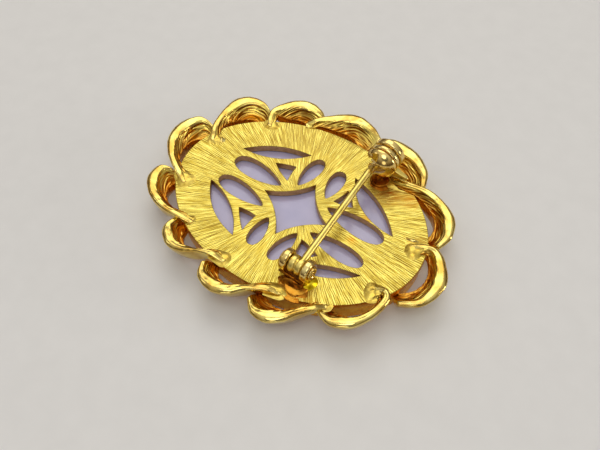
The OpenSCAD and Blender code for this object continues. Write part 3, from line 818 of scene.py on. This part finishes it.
# the curved wall under the hinge: brown painted shade and amber reflection between the ears
scoopFrom, scoopTo = h["earLeft"] + h["scoopInset"], h["earRight"] + h["ear"] - h["scoopInset"]
scoopProfile = roundedProfile(scoopFrom, h["scoopR"] - h["scoop"], scoopTo, h["scoopR"], 0.14)
points, faces = revolve(scoopProfile, aboutHinge, 204, 60, 36)
hingeScoop = addPiece("hingeScoop", points, faces, shadedSolder, "brooch")
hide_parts("back_plate")
# foot and scraped ring: orange and brown painted shade under the hinge
parts = [discMesh(h["footX"], h["footY"], h["footR"], h["foot"], 0.2),
         revolve(scrape, aboutFoot, 185, 120, 48)]
points, faces = joinMeshes(parts)
hingeFoot = addPiece("hingeFoot", points, faces, shadedGilt, "brooch")
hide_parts("back_plate")

rivet = {"r": 0.5, "head": 1.08, "thick": 0.28}
v = rivet
headProfile = [
    (0, 0.001), (0, v["head"] - 0.1), (0.06, v["head"]), (0.14, v["head"]), (0.23, v["head"] - 0.08),
    (v["thick"], v["head"] - 0.2), (0.24, 0.78), (0.08, 0.72), (0.05, 0.62), (0.08, 0.54), (0.22, 0.48),
    (v["thick"], 0.38), (0.2, 0.24), (0.12, 0.16), (0.12, 0.001)]
left, right = h["earLeft"] - 0.02, h["earRight"] + h["ear"] + 0.02
shank = [(left, 0.001), (left, v["r"]), (right, v["r"]), (right, 0.001)]
points, faces = joinMeshes([
    revolve(shank, aboutHinge, steps=40),
    revolve([(right + x, r) for x, r in headProfile], aboutHinge),
    revolve([(left - x, r) for x, r in headProfile], aboutHinge)])
hingeRivet = addPiece("hingeRivet", points, faces, giltWire, "brooch")
flatShading(hingeRivet, 60)
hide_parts("hinge_rivet")

# Pin: coil of two turns, then the straight stem to its point
pin = {"r": 0.5, "coilR": 1.3, "coilT": 1.02, "turns": (6.66, 5.58), "bore": 0.56,
       "start": (7.17, -9.75, 2.97), "tip": (6.1, 10.36, 2.7), "taper": 1.3, "point": 0.13}
q = pin
coils = [roundedProfile(x, q["bore"], x + q["coilT"], q["coilR"], 0.34, 8) for x in q["turns"]]
coils.append(roundedProfile(q["turns"][1] + 0.5, q["bore"], q["turns"][0] + 0.5, q["coilR"] - 0.2, 0.1))
parts = [revolve(coil, aboutHinge) for coil in coils]
start, tip = Vector(q["start"]), Vector(q["tip"])
reach = (tip - start).length
heading = (tip - start).normalized()
side = heading.cross(Vector((0, 0, 1))).normalized()
upward = side.cross(heading)
rows = [(d, q["r"]) for d in (0, 2, 5, 9, 13, reach - q["taper"])]
for f in (0.15, 0.3, 0.45, 0.6, 0.75, 0.88, 0.96):
    rows.append((reach - q["taper"] * (1 - f), lerp(q["r"], q["point"], f ** 1.8)))
rows += [(reach - 0.02, q["point"] * 0.7), (reach, 0.01)]
points, sides = [], 28
for d, r in rows:
    points += [tuple(start + heading * d + side * u + upward * v) for u, v in ovalPoints(r, r, sides)]
faces = tubeFaces(len(rows), sides)
faces += [list(range(sides))[::-1], [(len(rows) - 1) * sides + k for k in range(sides)]]
parts.append((points, faces))
points, faces = joinMeshes(parts)
pinStem = addPiece("pinStem", points, faces, wornWire, "pin")
flatShading(pinStem, 60)
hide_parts("pin_stem")
print("hinge and pin made")

# Safety catch: two open rings on a foot, and between them the roller that closes the mouth
catch = {
    "x": 6.95, "z": 3.3, "r": 2.5, "bore": 1.85, "front": (10.6, 11.4), "back": (12.84, 14.0), "mouth": 183,
    "open": 66, "nose": 9.45, "edge": 0.14, "slot": (-1.5, -0.2, 10.62), "slotEase": 0.2, "hookR": 0.55,
    "hookAt": 143, "hookMid": 1.95, "footX": 7.43, "footY": 10.65, "footR": 1.45, "foot": 0.42,
    "baseHalf": 0.8, "baseZ": 0.3, "webHalf": 0.75, "webZ": 0.55,
}
c = catch


def aboutCatch(along, across, up):  # axis along Y
    return (catch["x"] + across, along, catch["z"] + up)


mouthTo = c["mouth"] + c["open"] / 2
y0, y1 = c["front"]
frontProfile = []
for a in range(90, -1, -15):
    back, rise = polar(c["edge"], a)
    frontProfile.append((y1 - c["edge"] + rise, c["r"] - c["edge"] + back))
for a in range(5, 91, 5):
    fall, rise = polar(1, a)
    frontProfile.append((lerp(y1 - c["edge"], c["nose"], rise ** 1.15), max(0.001, c["r"] * fall)))
frontProfile += [(y0 + 0.16, 0.001), (y0 + 0.22, c["bore"]), (y1, c["bore"])]


def frontPlace(along, across, up):  # the knob is pressed in where the pin swings up past it
    left, right, back = catch["slot"]
    ease = catch["slotEase"]
    beside = within((across - left + ease / 2) / ease) * within((right + ease / 2 - across) / ease)
    deep = beside * within((up + 1.5) / 0.25)
    return aboutCatch(lerp(along, max(along, back), deep), across, up)


backProfile = roundedProfile(c["back"][0], c["bore"], c["back"][1], c["r"], 0.32, 8)
ringFrom, ringSweep = mouthTo + 7, 346 - c["open"]
parts = [revolve(frontProfile, frontPlace, ringFrom, ringSweep, 130, (10.7, 1.6)),
         revolve(backProfile, aboutCatch, ringFrom, ringSweep, 84, (13.4, 2.18))]
hx, hz = polar(c["hookMid"], c["hookAt"])


def hookPlace(along, across, up):  # the ball stays clear of the roller that turns inside the ring
    x, z = hx + across, hz + up
    out = math.hypot(x, z)
    push = max(1.0, (c["bore"] + 0.02) / out) if along > -0.08 else 1.0
    return aboutCatch(c["front"][0] + 0.3 + along, x * push, z * push)


ball = [(along, max(0.001, r)) for along, r in (polar(c["hookR"], a) for a in range(0, 181, 10))]
parts.append(revolve(ball, hookPlace, steps=36))
base, baseFaces = cutSheet([rectangle(-c["baseHalf"], 0.2, c["baseHalf"], 2.8)], 0.8, 0.32, 8)
parts.append(([(c["x"] + x, c["front"][0] + y, c["baseZ"] + z) for x, y, z in base], baseFaces))
for y0, y1 in ((c["front"][0] + 0.08, c["front"][1] - 0.08), (c["back"][0] + 0.08, c["back"][0] + 0.58)):
    web, webFaces = cutSheet([rectangle(-c["webHalf"], y0, c["webHalf"], y1)], 1.1, 0.12)
    parts.append(([(c["x"] + x, y, c["webZ"] + z) for x, y, z in web], webFaces))
points, faces = joinMeshes(parts)
catchBody = addPiece("catchBody", points, faces, giltWire, "brooch")
flatShading(catchBody, 50)
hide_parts("back_plate")
# the catch's foot: brown painted shade and amber reflection under the catch
points, faces = discMesh(c["footX"], c["footY"], c["footR"], c["foot"], 0.2)
catchFoot = addPiece("catchFoot", points, faces, shadedSolder, "brooch")
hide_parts("back_plate")

roller = {
    "r": 1.8, "bore": 0.95, "from": 10.86, "to": 13.86, "midFrom": 11.65, "midTo": 12.59, "midR": 2.46,
    "leverY": 11.67, "lever": 0.9, "tabFrom": 2.2, "tabLong": 2.18,
}
w = roller
leverOutline = [(1.1, -1.9), (1.9, -0.8)] + [(2.2 + 0.24 * j, -0.92 - 0.07 * j) for j in range(9)]
leverOutline += [(4.3, -1.65), (4.32, -1.78)] + [(4.2 - 0.24 * j, -1.98 - 0.02 * j) for j in range(10)]
tube = roundedProfile(w["from"], w["bore"], w["to"], w["r"], 0.12)
band = roundedProfile(w["midFrom"], w["r"] - 0.26, w["midTo"], w["midR"], 0.4, 8)
parts = [revolve(profile, aboutCatch, mouthTo, 360 - c["open"], 84) for profile in (tube, band)]
sheet, tabFaces = cutSheet([leverOutline], w["lever"], 0.12, 4)
tab = []
for u, up, z in sheet:  # thinner towards its round end
    thin = math.sqrt(max(0.05, 1 - max(0.0, (u - w["tabFrom"]) / w["tabLong"]) ** 2))
    tab.append((c["x"] + u, w["leverY"] + w["lever"] / 2 - z * thin, c["z"] + up))
parts.append((tab, tabFaces))
points, faces = joinMeshes(parts)
catchRoller = addPiece("catchRoller", points, faces, giltWire, "roller")
flatShading(catchRoller, 50)
catchRoller.data.materials.append(wornWire)
for side in catchRoller.data.polygons[-len(tabFaces):]:
    side.material_index = 1
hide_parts("catch_roller")
print("catch made")

# Floor and light
studio = {
    "floor": "#E6E4E1", "floorShade": "#E3E1DE", "floorHalf": 1.5, "sky": 0.8, "darkSide": 0.15,
    "key": 0.33, "top": 0.45, "fill": 0.05, "side": 0.34, "low": 0.12,
}
floorMaterial, tree = newMaterial("paperPale")  # heavy paper, uncoated: even and matt
grain = addNode(tree, "TexNoise", {"Scale": 900.0, "Detail": 3.0})
tone = addRamp(tree, grain, [(0.3, studio["floorShade"]), (0.7, studio["floor"])])
closeMaterial(tree, addNode(tree, "BsdfPrincipled", {"Base Color": tone, "Roughness": 0.8}))
floorMesh = bpy.data.meshes.new("floor")
half = studio["floorHalf"]
floorMesh.from_pydata([(x, y, 0) for x, y in rectangle(-half, -half, half, half)], [], [[0, 1, 2, 3]])
floorMesh.materials.append(floorMaterial)
floor = bpy.data.objects.new("floor", floorMesh)
bpy.context.scene.collection.objects.link(floor)


def areaLight(name, direction, distance, size, power, colour="#FFFFFF"):
    data = bpy.data.lights.new(name, "AREA")
    data.shape = "DISK"
    data.size = size
    data.energy = power
    data.color = hexLinear(colour)[:3]
    lamp = bpy.data.objects.new(name, data)
    lamp.location = Vector(direction).normalized() * distance
    lamp.rotation_euler = (-Vector(direction)).to_track_quat("-Z", "Y").to_euler()
    bpy.context.scene.collection.objects.link(lamp)


areaLight("keySoft", (-0.5, 0.75, 1.25), 0.4, 0.3, studio["key"], "#FFFBF2")
areaLight("topSoft", (0.25, -0.45, 1.2), 0.5, 0.28, studio["top"])
areaLight("fillSoft", (-1.0, -0.5, 0.8), 0.45, 0.12, studio["fill"])
areaLight("sideSoft", (1.0, 0.5, 0.24), 0.5, 0.14, studio["side"])
areaLight("lowSoft", (0.5, -1.0, 0.42), 0.5, 0.2, studio["low"])

world = bpy.data.worlds.new("studio")
world.use_nodes = True
bpy.context.scene.world = world
tree = world.node_tree
tree.nodes.clear()
direction = addNode(tree, "TexCoord").outputs["Generated"]
height = addNode(tree, "SeparateXYZ", {"Vector": direction})
tones = [(0.0, "#4A3C34"), (0.2, "#76695F"), (0.6, "#C8C4BE"), (1.0, "#FFFFFF")]
shade = addRamp(tree, height.outputs["Z"], tones)
# the room is darker on the side that the plate mirrors
aside = addNode(tree, "VectorMath", {0: direction, 1: (0.33, -0.47, 0.82)}, operation="DOT_PRODUCT")
dim = addRange(tree, aside.outputs["Value"], 0.86, 0.96, 1.0, studio["darkSide"])
room = addNode(tree, "VectorMath", {0: shade, "Scale": dim}, operation="SCALE")
sky = addNode(tree, "Background", {"Color": room, "Strength": studio["sky"]})
addNode(tree, "OutputWorld", {"Surface": sky})
bpy.context.scene.view_settings.view_transform = "Standard"
print("floor and lights made")
